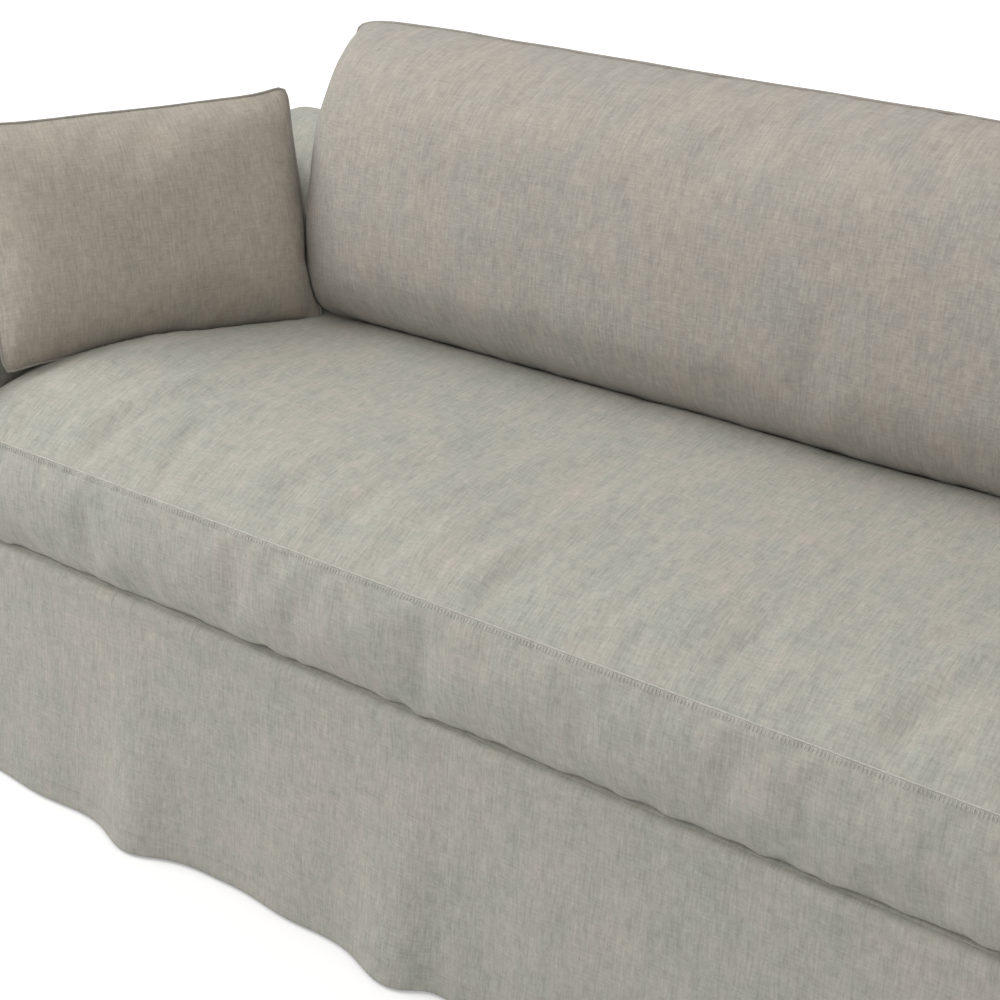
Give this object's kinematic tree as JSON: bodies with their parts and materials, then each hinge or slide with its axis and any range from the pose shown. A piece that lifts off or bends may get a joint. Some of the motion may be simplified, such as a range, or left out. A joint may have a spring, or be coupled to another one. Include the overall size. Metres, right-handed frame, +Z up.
{
  "type": "slipcovered sofa",
  "caption": "Slipcovered sofa with low sloping arms, a floor-length skirt, a bench seat cushion, a long knife-edged back cushion and a small throw pillow in each corner.",
  "frame": {"origin": "on the floor under the middle of the sofa's footprint", "axes": "+X along the sofa to the right when seen from the front, -Y out of the front, +Z up"},
  "size_m": [2.1198, 0.89, 0.8539],
  "materials": {
    "linen": "washed linen, matt",
    "timber": "plain sanded hardwood",
    "fibre_padding": "bonded fibre wadding",
    "foam": "open foam",
    "spring_steel": "drawn steel",
    "nylon": "matt",
    "fibreboard": "hard fibreboard",
    "webbing": "jute webbing",
    "dust_cloth": "black non-woven cloth",
    "zip_tape": "zip tape with nylon coil"
  },
  "bodies": {
    "sofa_frame": {"back_cover": "linen", "back_lower_rail": "timber", "back_pad": "fibre_padding", "back_top_rail": "timber", "back_uprights": "timber", "back_webbing": "webbing", "centre_stretcher": "timber", "corner_blocks": "timber", "deck_cover": "linen", "deck_pad": "fibre_padding", "dust_cover": "dust_cloth", "front_left_leg": "timber", "front_rail": "timber", "front_right_leg": "timber", "front_skirt": "linen", "left_arm_cover": "linen", "left_arm_pad": "fibre_padding", "left_arm_panels": "fibreboard", "left_arm_post": "timber", "left_arm_rail": "timber", "left_back_post": "timber", "left_side_rail": "timber", "left_skirt": "linen", "leg_bolts": "spring_steel", "leg_glides": "nylon", "middle_leg": "timber", "rear_left_leg": "timber", "rear_rail": "timber", "rear_right_leg": "timber", "rear_skirt": "linen", "right_arm_cover": "linen", "right_arm_pad": "fibre_padding", "right_arm_panels": "fibreboard", "right_arm_post": "timber", "right_arm_rail": "timber", "right_back_post": "timber", "right_side_rail": "timber", "right_skirt": "linen", "seat_springs": "spring_steel", "spring_clips": "spring_steel"},
    "seat_cushion": {"seat_cushion_core": "foam", "seat_cushion_cover": "linen", "seat_cushion_filling": "fibre_padding", "seat_cushion_zip": "zip_tape"},
    "back_cushion": {"back_cushion_core": "foam", "back_cushion_cover": "linen", "back_cushion_filling": "fibre_padding", "back_cushion_zip": "zip_tape"},
    "left_pillow": {"left_pillow_cover": "linen", "left_pillow_insert": "fibre_padding"},
    "right_pillow": {"right_pillow_cover": "linen", "right_pillow_insert": "fibre_padding"},
    "seat_zip_slider": {"seat_cushion_zip_slider": "spring_steel"},
    "back_zip_slider": {"back_cushion_zip_slider": "spring_steel"}
  },
  "joints": [
    {"name": "seat_cushion_lift", "type": "slide", "parent": "sofa_frame", "child": "seat_cushion", "axis": [0, 0, 1], "range_m": [0, 0.36]},
    {"name": "back_cushion_lift", "type": "slide", "parent": "seat_cushion", "child": "back_cushion", "axis": [0, 0.2756, 0.9613], "range_m": [0, 0.3]},
    {"name": "left_pillow_lift", "type": "slide", "parent": "seat_cushion", "child": "left_pillow", "axis": [0.3, -0.3, 0.9055], "range_m": [0, 0.3]},
    {"name": "right_pillow_lift", "type": "slide", "parent": "seat_cushion", "child": "right_pillow", "axis": [-0.3, -0.3, 0.9055], "range_m": [0, 0.3]},
    {"name": "seat_zip_run", "type": "slide", "parent": "seat_cushion", "child": "seat_zip_slider", "axis": [1, 0, 0], "range_m": [0, 1.47]},
    {"name": "back_zip_run", "type": "slide", "parent": "back_cushion", "child": "back_zip_slider", "axis": [1, 0, 0], "range_m": [0, 0.87]}
  ]
}
